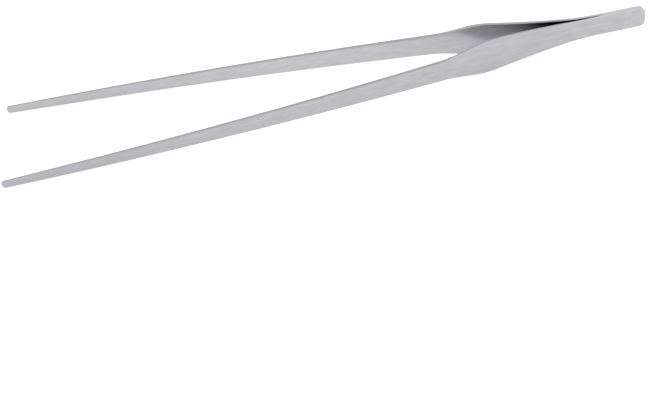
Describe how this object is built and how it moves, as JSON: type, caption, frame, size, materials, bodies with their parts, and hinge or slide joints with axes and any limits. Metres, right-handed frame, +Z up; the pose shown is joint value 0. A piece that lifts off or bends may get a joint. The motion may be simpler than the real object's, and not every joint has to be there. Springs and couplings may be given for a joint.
{
  "type": "stamp tongs",
  "caption": "Long slim stamp tongs: tapered spring-steel arms welded at the butt, with leaf-shaped grips and plain rounded tips that close when squeezed.",
  "frame": {"origin": "middle of the length, on the plane between the arms, level with the lower edges of the grips", "axes": "+X from the tips to the welded butt, +Y from the front arm to the rear arm, +Z up across the width of the strips"},
  "size_m": [0.15, 0.0266, 0.0085],
  "materials": {
    "satin_steel": "bead-blasted satin stainless steel",
    "weld_steel": "fused, as welded"
  },
  "bodies": {
    "butt": {"front_tang": "satin_steel", "rear_tang": "satin_steel", "butt_weld_nugget": "weld_steel", "neck_weld_nugget": "weld_steel"},
    "front_arm": {"front_blade": "satin_steel"},
    "rear_arm": {"rear_blade": "satin_steel"}
  },
  "joints": [
    {"name": "front_arm_flexure", "type": "hinge", "parent": "butt", "child": "front_arm", "pos_m": [0.05753, -0.0007, 0.00427], "axis": [0, 0, -1], "range_deg": [0, 5.57], "stiffness_Nm_per_rad": 1.8},
    {"name": "rear_arm_flexure", "type": "hinge", "parent": "butt", "child": "rear_arm", "pos_m": [0.05753, 0.0007, 0.00427], "axis": [0, 0, 1], "range_deg": [0, 5.57], "stiffness_Nm_per_rad": 1.8}
  ]
}
